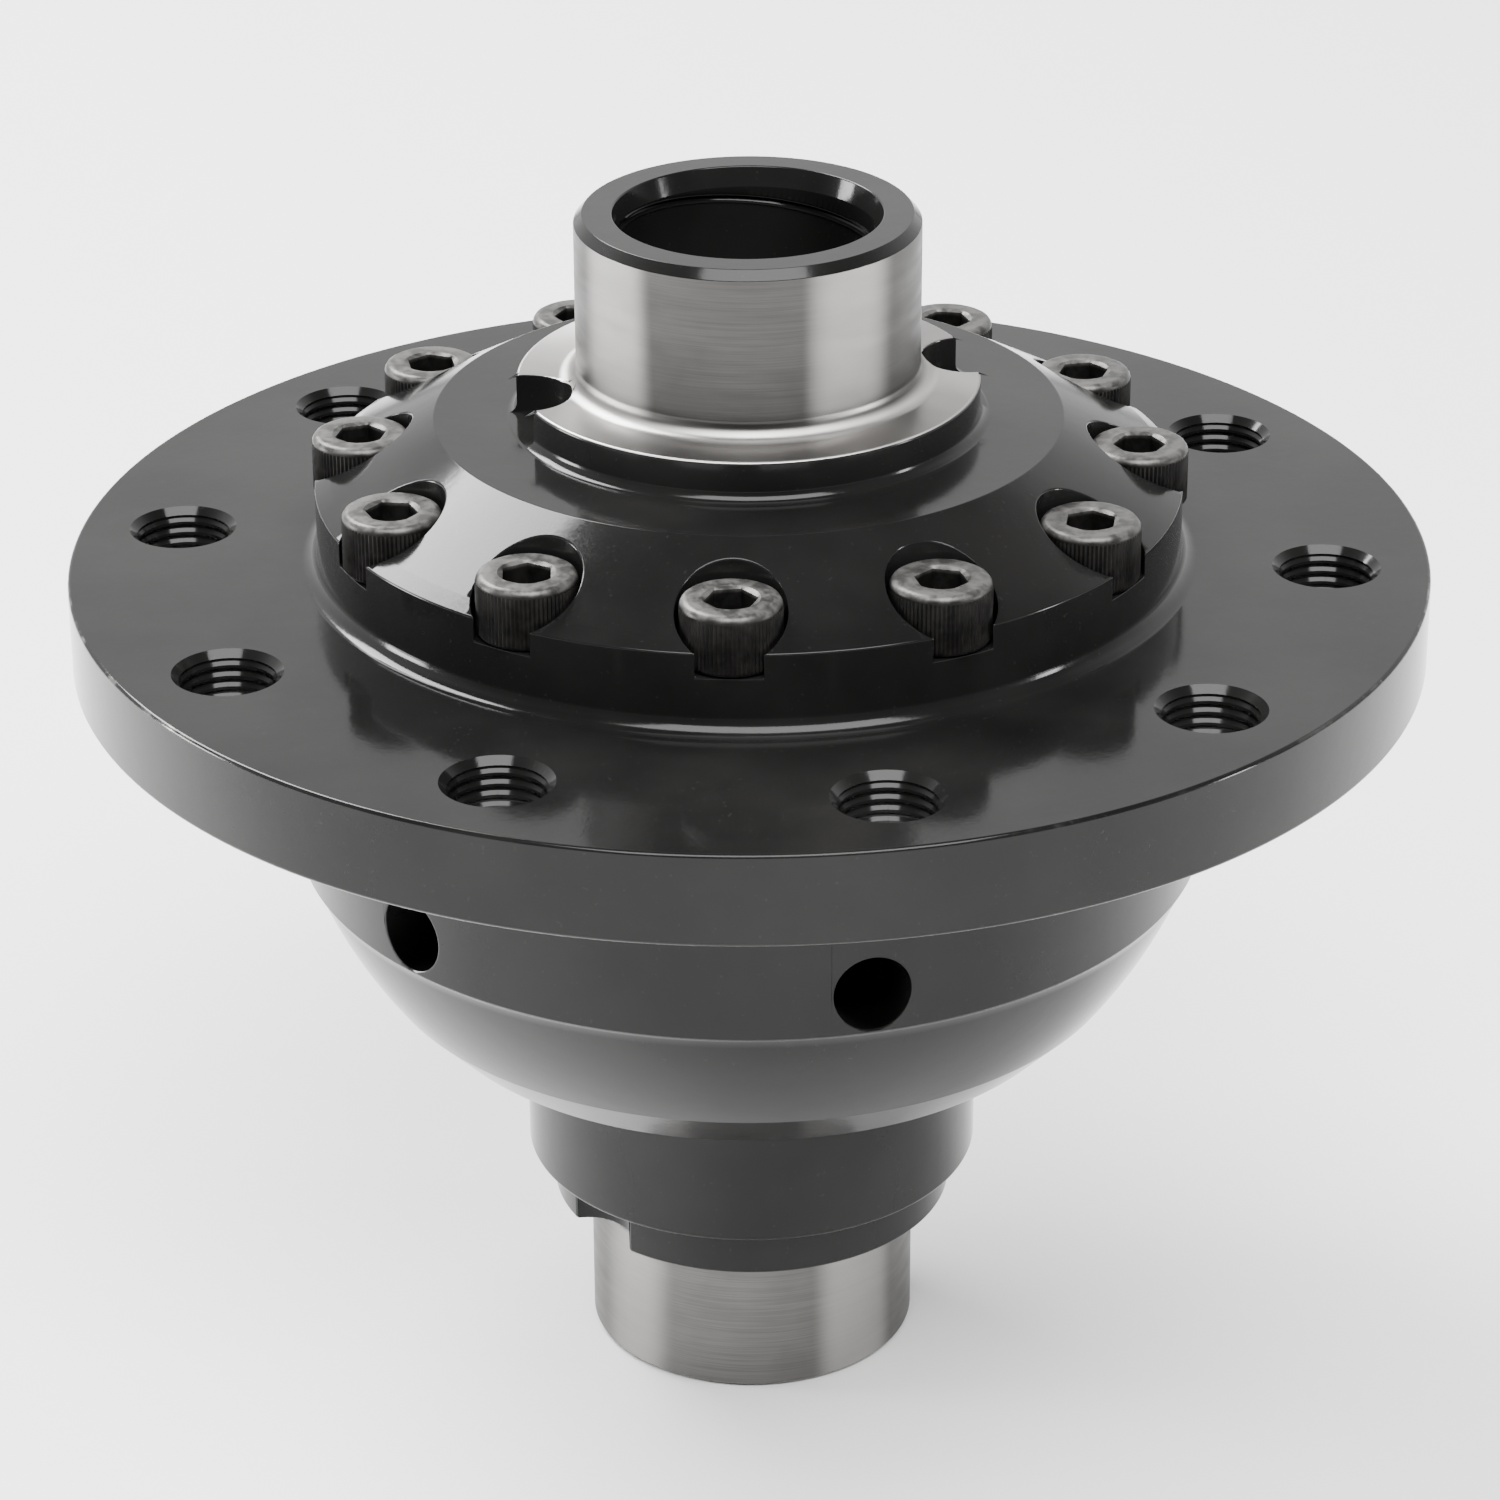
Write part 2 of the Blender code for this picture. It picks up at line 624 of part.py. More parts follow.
def main():
    clear_scene()
    parts = new_collection("differential")
    helpers = new_collection("helpers")
    case_cutters = new_collection("case_cutters")
    cover_holes = new_collection("cover_hole_cutters")
    cover_recesses = new_collection("cover_recess_cutters")
    pockets = new_collection("pinion_pocket_cutters")
    made = {name: make_material(name) for name in MATERIALS}
    make_pinion_pockets(pockets)
    make_case(parts, pockets, case_cutters, made["black_coated"])
    make_cover(parts, pockets, cover_holes, cover_recesses, made["black_coated"])
    make_screws(parts, helpers, made["black_oxide"])
    make_gears(parts, helpers, made["gear_steel"], made["gear_steel"])
    make_thrust_pieces(parts, made["hardened_steel"], made["spring_steel"], made["hardened_steel"])


main()
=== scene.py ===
"""Looks of the helical limited-slip differential: fine shells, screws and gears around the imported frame."""

import math

import bmesh
import bpy
from mathutils import Matrix, Vector


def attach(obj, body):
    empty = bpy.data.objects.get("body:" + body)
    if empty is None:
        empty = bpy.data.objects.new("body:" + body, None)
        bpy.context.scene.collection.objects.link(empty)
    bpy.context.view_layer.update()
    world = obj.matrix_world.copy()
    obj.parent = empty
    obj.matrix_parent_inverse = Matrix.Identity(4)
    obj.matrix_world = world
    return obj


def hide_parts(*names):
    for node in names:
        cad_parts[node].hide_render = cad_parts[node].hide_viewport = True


MM = 0.001

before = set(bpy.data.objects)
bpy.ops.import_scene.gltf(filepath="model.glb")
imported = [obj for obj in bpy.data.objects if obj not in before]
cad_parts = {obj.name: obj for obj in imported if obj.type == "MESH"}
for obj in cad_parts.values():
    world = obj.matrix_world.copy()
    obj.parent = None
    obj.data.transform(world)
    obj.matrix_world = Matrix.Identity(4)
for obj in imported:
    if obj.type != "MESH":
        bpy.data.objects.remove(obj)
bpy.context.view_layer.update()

TURN_STEPS = 240

# Driving sizes, in millimetres and degrees. Those that part.py also has are the same there.
GAP = 0.3
JOURNAL_R = 22.6
BORE_R = 16.75
TOP_Z = 165.0
TOP_BEVEL_W, TOP_BEVEL_H = 1.1, 1.2
UPPER_MOUTH_R, UPPER_MOUTH_H = 17.6, 2.6
LOWER_MOUTH_W, LOWER_MOUTH_H = 0.6, 1.5
UPPER_SHOULDER_Z = 142.55
UPPER_COLLAR_R = 30.44
LOWER_SHOULDER_Z = 21.5
LOWER_COLLAR_R = 27.7
NECK_R = 31.2
NECK_Z = 28.6
NECK_TOP_Z = 52.8
DOME_FOOT_R = 45.3
FLANGE_R = 90.2
FLANGE_TOP_Z = 117.8
FLANGE_BASE_Z = 105.5
WALL_R = 57.3
CONE_TOP_R, CONE_TOP_Z = 41.4, 137.3
CONE_BASE_R, CONE_BASE_Z = 55.2, 129.75
WALL_TOP_Z = 128.4
BAND_R = 61.4
BAND_BASE_Z = 76.9
DOME_TOP = (60.6, 76.1)
DOME_BASE = (51.6, 59.2)
DOME_BULGE = 0.7
CASE_TOP_Z = FLANGE_BASE_Z
REGISTER_R = 44.4
REGISTER_H = 2.5
CAVITY_R = 27.8
CAVITY_FLOOR_Z = 60.0
CAVITY_ROOF_Z = 122.0
HUB_BORE_R = 21.0
HUB_FLOOR_Z = 56.0
HUB_ROOF_Z = 126.0
SCREW_COUNT = 12
SCREW_CIRCLE_R = 51.4
SCREW_PHASE = 15.0
HEAD_SEAT_Z = 125.5
CLEARANCE_R = 4.5
TAPPED_R = 4.3
POCKET_R = 7.0
POCKET_CIRCLE_R = 51.5
FLANGE_HOLE_COUNT = 10
FLANGE_HOLE_CIRCLE_R = 76.5
FLANGE_HOLE_PHASE = 18.0
THREAD_MINOR_R = 6.05
THREAD_MAJOR_R = 6.4
THREAD_PITCH = 1.5
HOLE_MOUTH_R = 7.15
OIL_HOLE_COUNT = 6
OIL_HOLE_R = 5.0
OIL_HOLE_Z = 82.4
OIL_HOLE_PHASE = 32.0
OIL_HOLE_MID_R = 50.0
OIL_HOLE_LENGTH = 30.0
GROOVE_R = 0.55
GROOVE_Z = 160.6
GROOVE_TILT = 4.5
GROOVE_TILT_AXIS = 77.5
NOTCH_R = 6.3
NOTCH_CIRCLE_R = 29.9
LOWER_NOTCH_PHASE = 28.0
MODULE = 1.75
TOOTH_THINNING = 0.58
PRESSURE_ANGLE = 25.0
HELIX_ANGLE = 10.0
GEAR_MID_Z = 91.0
PINION_TEETH = 7
SIDE_TEETH = 30
PAIR_COUNT = 6
PAIR_PHASE = 30.0
PINION_POCKET_R = 7.8
SPLINE_COUNT = 24
SPLINE_MINOR_R, SPLINE_MAJOR_R = 14.6, 15.9

# How far the cutters reach in height
COVER_CUT = (100.0, 145.0)
THREAD_CUT = (100.3, 120.3)
TAPPED_CUT = (89.5, 110.0)
UPPER_NOTCH_CUT = (CONE_TOP_Z + 0.1, 150.0)
LOWER_NOTCH_CUT = (15.0, NECK_Z - 0.05)

PINION_PITCH_R = MODULE * PINION_TEETH / 2
PINION_CIRCLE_R = PINION_PITCH_R + MODULE * SIDE_TEETH / 2
PAIR_HALF_ANGLE = math.degrees(math.asin(PINION_PITCH_R / PINION_CIRCLE_R))


# Mesh tools


def polar(radius, angle, z=0.0):
    turn = math.radians(angle)
    return Vector((radius * math.cos(turn), radius * math.sin(turn), z))


def add_object(name, mesh):
    obj = bpy.data.objects.new(name, mesh)
    bpy.context.scene.collection.objects.link(obj)
    return obj


def rounded(corners, steps=5):
    """A closed (r, z) outline from (r, z, fillet radius) corners."""
    points = []
    count = len(corners)
    for i, (r, z, fillet) in enumerate(corners):
        here = Vector((r, z))
        if fillet == 0:
            points.append(here)
            continue
        before = Vector(corners[i - 1][:2])
        after = Vector(corners[(i + 1) % count][:2])
        way_in = (before - here).normalized()
        way_out = (after - here).normalized()
        half = way_in.angle(way_out) / 2
        reach = fillet / math.tan(half)
        centre = here + (way_in + way_out).normalized() * (fillet / math.sin(half))
        start = here + way_in * reach - centre
        end = here + way_out * reach - centre
        for k in range(steps + 1):
            spoke = start.lerp(end, k / steps)
            points.append(centre + spoke.normalized() * fillet)
    return points


def arc(start, end, sagitta, steps):
    """Points between two (r, z) points on an arc that bulges to the left of the way along it."""
    chord = Vector(end) - Vector(start)
    bulge = Vector((-chord.y, chord.x)).normalized()
    radius = chord.length**2 / (8 * sagitta) + sagitta / 2
    centre = Vector(start) + chord / 2 - bulge * (radius - sagitta)
    first = Vector(start) - centre
    last = Vector(end) - centre
    points = []
    for k in range(1, steps):
        points.append(centre + first.slerp(last, k / steps) * radius)
    return points


def spun(name, points, steps=TURN_STEPS):
    """A closed outline of (r, z) points in millimetres, turned about Z."""
    mesh = bpy.data.meshes.new(name)
    shape = bmesh.new()
    verts = [shape.verts.new((p[0] * MM, 0.0, p[1] * MM)) for p in points]
    edges = [shape.edges.new((verts[i - 1], verts[i])) for i in range(len(verts))]
    bmesh.ops.spin(
        shape, geom=verts + edges, axis=(0, 0, 1), angle=2 * math.pi, steps=steps, use_merge=True
    )
    bmesh.ops.remove_doubles(shape, verts=shape.verts[:], dist=1e-7)
    bmesh.ops.recalc_face_normals(shape, faces=shape.faces[:])
    shape.to_mesh(mesh)
    shape.free()
    return add_object(name, mesh)


def rod(name, radius, low_z, high_z, place, sides=48, end_radius=None):
    """An upright cylinder or cone, as a cutter."""
    mesh = bpy.data.meshes.new(name)
    shape = bmesh.new()
    bmesh.ops.create_cone(
        shape,
        cap_ends=True,
        segments=sides,
        radius1=radius * MM,
        radius2=(end_radius or radius) * MM,
        depth=(high_z - low_z) * MM,
    )
    shape.to_mesh(mesh)
    shape.free()
    obj = add_object(name, mesh)
    obj.location = Vector((place.x, place.y, (low_z + high_z) / 2)) * MM
    return obj


def cut(obj, groups):
    """Takes each group of cutters away from the object in turn, and removes the cutters."""
    collections = []
    for group in groups:
        collection = bpy.data.collections.new("cutters")
        for cutter in group:
            collection.objects.link(cutter)
        modifier = obj.modifiers.new("cut", "BOOLEAN")
        modifier.operand_type = "COLLECTION"
        modifier.collection = collection
        modifier.solver = "MANIFOLD"
        collections.append(collection)
    bake_modifiers(obj)
    for group, collection in zip(groups, collections):
        for cutter in group:
            bpy.data.objects.remove(cutter)
        bpy.data.collections.remove(collection)


def bake_modifiers(obj):
    bpy.context.view_layer.update()
    graph = bpy.context.evaluated_depsgraph_get()
    obj.data = bpy.data.meshes.new_from_object(obj.evaluated_get(graph))
    obj.modifiers.clear()


def soften_edges(obj, wanted, width, segments=2, least_angle=28.0):
    """Bevels the sharp edges whose middle, as (r, z), the wanted function picks."""
    mesh = obj.data
    shape = bmesh.new()
    shape.from_mesh(mesh)
    bmesh.ops.remove_doubles(shape, verts=shape.verts[:], dist=2e-6)
    layer = shape.edges.layers.float.new("bevel_weight_edge")
    for edge in shape.edges:
        if len(edge.link_faces) != 2 or edge.calc_face_angle() < math.radians(least_angle):
            continue
        middle = (edge.verts[0].co + edge.verts[1].co) / 2 / MM
        if wanted(math.hypot(middle.x, middle.y), middle.z):
            edge[layer] = 1.0
    shape.to_mesh(mesh)
    shape.free()
    bevel = obj.modifiers.new("soften", "BEVEL")
    bevel.limit_method = "WEIGHT"
    bevel.width = width * MM
    bevel.segments = segments
    bevel.use_clamp_overlap = False
    bake_modifiers(obj)


def finish_normals(obj, angle=32.0):
    obj.data.shade_smooth()
    obj.data.set_sharp_from_angle(angle=math.radians(angle))
    weighted = obj.modifiers.new("weighted", "WEIGHTED_NORMAL")
    weighted.keep_sharp = True
    weighted.weight = 90
    bake_modifiers(obj)


# Shells


def pinion_pocket_cutters():
    cutters = []
    for i in range(PAIR_COUNT):
        for side in (-1, 1):
            angle = PAIR_PHASE + 360 / PAIR_COUNT * i + side * PAIR_HALF_ANGLE
            place = polar(PINION_CIRCLE_R, angle)
            low_z, high_z = CAVITY_FLOOR_Z - 0.2, CAVITY_ROOF_Z + 0.2
            cutters.append(rod("pinion_pocket", PINION_POCKET_R, low_z, high_z, place))
    return cutters


def threaded_hole_cutter(place):
    """A ring-grooved rod: the crests and roots of a bolt thread."""
    low_z, high_z = THREAD_CUT
    points = [Vector((0.01, high_z)), Vector((THREAD_MINOR_R, high_z))]
    z = high_z
    while z - THREAD_PITCH > low_z:
        points.append(Vector((THREAD_MINOR_R, z - 0.15 * THREAD_PITCH)))
        points.append(Vector((THREAD_MAJOR_R, z - 0.45 * THREAD_PITCH)))
        points.append(Vector((THREAD_MAJOR_R, z - 0.6 * THREAD_PITCH)))
        points.append(Vector((THREAD_MINOR_R, z - 0.9 * THREAD_PITCH)))
        z -= THREAD_PITCH
    points.append(Vector((THREAD_MINOR_R, low_z)))
    points.append(Vector((0.01, low_z)))
    cutter = spun("threaded_hole", points, 48)
    cutter.location = Vector((place.x, place.y, 0.0)) * MM
    return cutter


def oil_groove_cutter():
    """A round-bottomed ring, tilted a little, that leaves a slanting oil groove in the upper bore."""
    centre_r = BORE_R + 0.1
    points = []
    for k in range(12):
        point = polar(GROOVE_R, 30 * k)
        points.append(Vector((centre_r + point.x, point.y)))
    cutter = spun("oil_groove", points, 120)
    tilt = Matrix.Rotation(math.radians(GROOVE_TILT), 4, polar(1.0, GROOVE_TILT_AXIS))
    cutter.matrix_world = Matrix.Translation((0.0, 0.0, GROOVE_Z * MM)) @ tilt
    return cutter


def mouth_cutters(place):
    """The chamfers at both ends of a flange hole."""
    inner_r, outer_r = THREAD_MINOR_R - 0.2, HOLE_MOUTH_R + 1.0
    depth = HOLE_MOUTH_R - THREAD_MINOR_R + 0.2
    return [
        rod("mouth", inner_r, FLANGE_TOP_Z - depth, FLANGE_TOP_Z + 1.0, place, 64, outer_r),
        rod("mouth", outer_r, FLANGE_BASE_Z - 1.0, FLANGE_BASE_Z + depth, place, 64, inner_r),
    ]


def make_cover():
    register_z = CASE_TOP_Z + REGISTER_H + GAP
    corners = [
        (JOURNAL_R - TOP_BEVEL_W, TOP_Z, 0.15),
        (JOURNAL_R, TOP_Z - TOP_BEVEL_H, 0.2),
        (JOURNAL_R, UPPER_SHOULDER_Z, 2.4),
        (UPPER_COLLAR_R, UPPER_SHOULDER_Z, 0.4),
        (UPPER_COLLAR_R, CONE_TOP_Z, 1.4),
        (CONE_TOP_R, CONE_TOP_Z, 0.5),
        (CONE_BASE_R, CONE_BASE_Z, 0.25),
        (WALL_R, WALL_TOP_Z, 0.3),
        (WALL_R, FLANGE_TOP_Z, 2.2),
        (FLANGE_R, FLANGE_TOP_Z, 0.5),
        (FLANGE_R, FLANGE_BASE_Z, 0.6),
        (BAND_R + GAP, FLANGE_BASE_Z, 0.1),
        (BAND_R + GAP, CASE_TOP_Z + GAP, 0),
        (REGISTER_R + GAP, CASE_TOP_Z + GAP, 0),
        (REGISTER_R + GAP, register_z, 0),
        (CAVITY_R, register_z, 0),
        (CAVITY_R, CAVITY_ROOF_Z, 0),
        (HUB_BORE_R, CAVITY_ROOF_Z, 0),
        (HUB_BORE_R, HUB_ROOF_Z, 0),
        (BORE_R, HUB_ROOF_Z, 0),
        (BORE_R, TOP_Z - UPPER_MOUTH_H, 0.3),
        (UPPER_MOUTH_R, TOP_Z, 0.25),
    ]
    cover = spun("cover_shell", rounded(corners))
    holes = []
    recesses = []
    for i in range(SCREW_COUNT):
        angle = SCREW_PHASE + 360 / SCREW_COUNT * i
        pocket_place = polar(POCKET_CIRCLE_R, angle)
        holes.append(rod("hole", CLEARANCE_R, *COVER_CUT, polar(SCREW_CIRCLE_R, angle), 32))
        recesses.append(rod("pocket", POCKET_R, HEAD_SEAT_Z - GAP, COVER_CUT[1], pocket_place, 72))
    for i in range(FLANGE_HOLE_COUNT):
        place = polar(FLANGE_HOLE_CIRCLE_R, FLANGE_HOLE_PHASE + 360 / FLANGE_HOLE_COUNT * i)
        holes.append(threaded_hole_cutter(place))
        recesses += mouth_cutters(place)
    for i in range(2):
        recesses.append(rod("notch", NOTCH_R, *UPPER_NOTCH_CUT, polar(NOTCH_CIRCLE_R, 180 * i), 64))
    cut(cover, [pinion_pocket_cutters(), holes, recesses, [oil_groove_cutter()]])

    def outside_cut(radius, z):
        in_collar = radius < UPPER_COLLAR_R + 2 and z > CONE_TOP_Z + 0.5
        on_cone = CONE_TOP_R + 0.6 < radius < WALL_R + 1 and 124 < z < 140
        return in_collar or on_cone

    soften_edges(cover, outside_cut, 0.22)
    finish_normals(cover)
    return cover


def make_case():
    upper = [
        (CAVITY_R, CASE_TOP_Z + REGISTER_H, 0),
        (REGISTER_R, CASE_TOP_Z + REGISTER_H, 0.3),
        (REGISTER_R, CASE_TOP_Z, 0),
        (BAND_R, CASE_TOP_Z, 0.4),
        (BAND_R, BAND_BASE_Z, 0.5),
        (*DOME_TOP, 0),
    ]
    lower = [
        (*DOME_BASE, 0.35),
        (DOME_FOOT_R, NECK_TOP_Z, 0.5),
        (NECK_R, NECK_TOP_Z, 1.2),
        (NECK_R, NECK_Z, 0.7),
        (LOWER_COLLAR_R, NECK_Z, 0.6),
        (LOWER_COLLAR_R, LOWER_SHOULDER_Z, 0.4),
        (JOURNAL_R, LOWER_SHOULDER_Z, 1.8),
        (JOURNAL_R, 0.0, 0.5),
        (BORE_R + LOWER_MOUTH_W, 0.0, 0.2),
        (BORE_R, LOWER_MOUTH_H, 0.3),
        (BORE_R, HUB_FLOOR_Z, 0),
        (HUB_BORE_R, HUB_FLOOR_Z, 0),
        (HUB_BORE_R, CAVITY_FLOOR_Z, 0),
        (CAVITY_R, CAVITY_FLOOR_Z, 0),
    ]
    outline = rounded(upper + lower)
    dome_start = outline.index(Vector(DOME_TOP)) + 1
    outline[dome_start:dome_start] = arc(DOME_TOP, DOME_BASE, DOME_BULGE, 16)
    case = spun("case_shell", outline)
    cutters = []
    for i in range(SCREW_COUNT):
        place = polar(SCREW_CIRCLE_R, SCREW_PHASE + 360 / SCREW_COUNT * i)
        cutters.append(rod("tapped", TAPPED_R, *TAPPED_CUT, place, 32))
    for i in range(2):
        place = polar(NOTCH_CIRCLE_R, LOWER_NOTCH_PHASE + 180 * i)
        cutters.append(rod("notch", NOTCH_R, *LOWER_NOTCH_CUT, place, 64))
    for i in range(OIL_HOLE_COUNT):
        angle = OIL_HOLE_PHASE + 360 / OIL_HOLE_COUNT * i
        hole = rod("oil_hole", OIL_HOLE_R, 0.0, OIL_HOLE_LENGTH, Vector(), 64)
        hole.location = polar(OIL_HOLE_MID_R, angle, OIL_HOLE_Z) * MM
        hole.rotation_euler = (0.0, math.pi / 2, math.radians(angle))
        cutters.append(hole)
    cut(case, [pinion_pocket_cutters(), cutters])

    def outside_cut(radius, z):
        at_oil_hole = radius > 58 and 75 < z < 90
        at_notch = 22 < radius < NECK_R and LOWER_SHOULDER_Z - 1 < z < NECK_Z + 0.5
        return at_oil_hole or at_notch

    soften_edges(case, outside_cut, 0.4)
    finish_normals(case)
    return case


# Screws

HEAD_SIDES = 144
HEAD_R = 6.5
HEAD_H = 8.0
KNURL = 0.2
SOCKET_HALF_FLATS = 3.0
SHANK_SIDES = 36
SHANK_R = 4.0
SHANK_ROOT_R = 3.45
SHANK_END_R = 3.2
SHANK_PITCH = 1.25
THREADED_FROM_Z = -9.0
SCREW_END_Z = -35.0


def add_ring(shape, sides, z, radius_at):
    ring = []
    for i in range(sides):
        angle = 2 * math.pi * i / sides
        radius = radius_at(angle, i)
        ring.append(shape.verts.new((radius * math.cos(angle) * MM, radius * math.sin(angle) * MM, z * MM)))
    return ring


def bridge(shape, first, second):
    count = len(first)
    for i in range(count):
        j = (i + 1) % count
        shape.faces.new((first[i], first[j], second[j], second[i]))


def plain(radius):
    return lambda angle, i: radius


def finished_mesh(shape, name, sharp_angle):
    bmesh.ops.recalc_face_normals(shape, faces=shape.faces[:])
    mesh = bpy.data.meshes.new(name)
    shape.to_mesh(mesh)
    shape.free()
    mesh.shade_smooth()
    mesh.set_sharp_from_angle(angle=math.radians(sharp_angle))
    return mesh


def stack(shape, rings, closed_ends=True):
    for first, second in zip(rings, rings[1:]):
        bridge(shape, first, second)
    if closed_ends:
        shape.faces.new(list(reversed(rings[0])))
        shape.faces.new(rings[-1])


def screw_mesh():
    shape = bmesh.new()

    def knurled(angle, i):
        return HEAD_R if i % 2 else HEAD_R - KNURL

    def hexagon(angle, i):
        folded = (math.degrees(angle) % 60) - 30
        return SOCKET_HALF_FLATS / math.cos(math.radians(folded))

    def head(z, radius_at):
        return add_ring(shape, HEAD_SIDES, z, radius_at)

    def shank(z, radius):
        return add_ring(shape, SHANK_SIDES, z, plain(radius))

    rings = [
        head(0.0, plain(6.2)),
        head(0.25, plain(6.35)),
        head(0.45, knurled),
        head(6.9, knurled),
        head(7.05, plain(6.4)),
        head(7.3, plain(6.38)),
        head(7.75, plain(6.1)),
        head(7.95, plain(5.75)),
        head(HEAD_H, plain(5.45)),
        head(HEAD_H, plain(3.68)),
        head(7.92, plain(3.58)),
        head(7.7, hexagon),
        head(4.3, hexagon),
        head(3.9, plain(2.5)),
        head(3.2, plain(0.3)),
    ]
    stack(shape, rings)
    rings = [shank(1.0, SHANK_R), shank(THREADED_FROM_Z, SHANK_R)]
    z = THREADED_FROM_Z
    while z > SCREW_END_Z + 1.5:
        rings += [shank(z - 0.5, SHANK_ROOT_R), shank(z - 0.7, SHANK_ROOT_R), shank(z - 1.2, SHANK_R)]
        z -= SHANK_PITCH
    rings.append(shank(SCREW_END_Z, SHANK_END_R))
    rings.reverse()
    stack(shape, rings)
    return finished_mesh(shape, "socket_head_screw", 30)


# Gears


def involute(angle):
    return math.tan(angle) - angle


def half_tooth(teeth, radius):
    pitch_r = MODULE * teeth / 2
    pressure = math.radians(PRESSURE_ANGLE)
    base_r = pitch_r * math.cos(pressure)
    at_pitch = math.pi / (2 * teeth) - TOOTH_THINNING / (2 * pitch_r)
    if radius <= base_r:
        return at_pitch + involute(pressure)
    return at_pitch + involute(pressure) - involute(math.acos(base_r / radius))


def gear_outline(teeth, addendum, dedendum, flank_steps=5):
    pitch_r = MODULE * teeth / 2
    root_r = pitch_r - dedendum * MODULE
    tip_r = pitch_r + addendum * MODULE
    radii = [root_r + (tip_r - root_r) * k / flank_steps for k in range(flank_steps + 1)]
    points = []
    for i in range(teeth):
        middle = 2 * math.pi * i / teeth
        points += [(r, middle - half_tooth(teeth, r)) for r in radii]
        points += [(r, middle + half_tooth(teeth, r)) for r in reversed(radii)]
    return points


def outline_ring(shape, outline, z, turn):
    ring = []
    for radius, angle in outline:
        point = (radius * math.cos(angle + turn), radius * math.sin(angle + turn), z)
        ring.append(shape.verts.new(Vector(point) * MM))
    return ring


def twist(z, pitch_r):
    """How far a right-hand helix has turned at this height, from the gears' middle height."""
    return math.tan(math.radians(HELIX_ANGLE)) / pitch_r * (z - GEAR_MID_Z)


def heights(first, last, steps):
    return [first + (last - first) * k / steps for k in range(steps + 1)]


def side_gear_mesh(name, side, phase):
    """The toothed ring, its hub towards the case wall and its splined bore, as one loft of rings."""
    outer_z = GEAR_MID_Z + side * 28.9
    inner_z = GEAR_MID_Z + side * 7.9
    hub_z = GEAR_MID_Z + side * 34.7
    chamfer = 0.5
    hub_chamfer = 0.6
    tip_r, hub_r, mouth_r = 23.6, 20.6, 16.6
    outline = gear_outline(SIDE_TEETH, 0.62, 0.95)
    angles = [angle for radius, angle in outline]
    shape = bmesh.new()

    def circle(z, radius):
        return outline_ring(shape, [(radius, angle) for angle in angles], z, phase)

    def toothed(z, shrink=0.0):
        ring = [(radius - shrink, angle) for radius, angle in outline]
        return outline_ring(shape, ring, z, phase - side * twist(z, MODULE * SIDE_TEETH / 2))

    def splined(z):
        return outline_ring(shape, [(spline_radius(i), angle) for i, angle in enumerate(angles)], z, phase)

    def spline_radius(i):
        place = (i * SPLINE_COUNT / len(outline)) % 1.0
        return SPLINE_MAJOR_R if place < 0.42 else SPLINE_MINOR_R

    rings = [splined(inner_z), circle(inner_z, mouth_r), circle(inner_z, tip_r), toothed(inner_z, chamfer)]
    rings += [toothed(z) for z in heights(inner_z + side * chamfer, outer_z - side * chamfer, 10)]
    rings += [toothed(outer_z, chamfer), circle(outer_z, tip_r), circle(outer_z, hub_r)]
    rings += [circle(hub_z - side * hub_chamfer, hub_r), circle(hub_z, hub_r - hub_chamfer)]
    rings += [circle(hub_z, mouth_r), splined(hub_z)]
    rings.append(rings[0])
    stack(shape, rings, closed_ends=False)
    return finished_mesh(shape, name, 35)


def pinion_mesh(name, side):
    """Toothed from just past one side gear to the far end of the cavity, with a plain spindle beyond it."""
    far_z = GEAR_MID_Z + side * 29.0
    near_z = GEAR_MID_Z - side * 7.0
    spindle_z = GEAR_MID_Z - side * 30.5
    chamfer = 0.4
    end_r, spindle_r = 6.9, 4.15
    outline = gear_outline(PINION_TEETH, 0.70, 1.05)
    shape = bmesh.new()

    def toothed(z, most_r=math.inf):
        ring = [(min(radius, most_r), angle) for radius, angle in outline]
        return outline_ring(shape, ring, z, side * twist(z, PINION_PITCH_R))

    def circle(z, radius):
        return outline_ring(shape, [(radius, angle) for _, angle in outline], z, 0.0)

    rings = [circle(far_z, 3.6), toothed(far_z, end_r)]
    rings += [toothed(z) for z in heights(far_z - side * chamfer, near_z + side * chamfer, 18)]
    rings += [toothed(near_z, end_r), circle(near_z, spindle_r)]
    rings += [circle(spindle_z + side * chamfer, spindle_r), circle(spindle_z, spindle_r - chamfer)]
    stack(shape, rings)
    return finished_mesh(shape, name, 35)


def mesh_phase(place_angle, side_phase):
    """How far a pinion at this angle is turned, for its teeth to fall in the side gear's spaces."""
    line = math.radians(place_angle)
    return line + math.pi + (math.pi - SIDE_TEETH * (side_phase - line)) / PINION_TEETH


# Materials


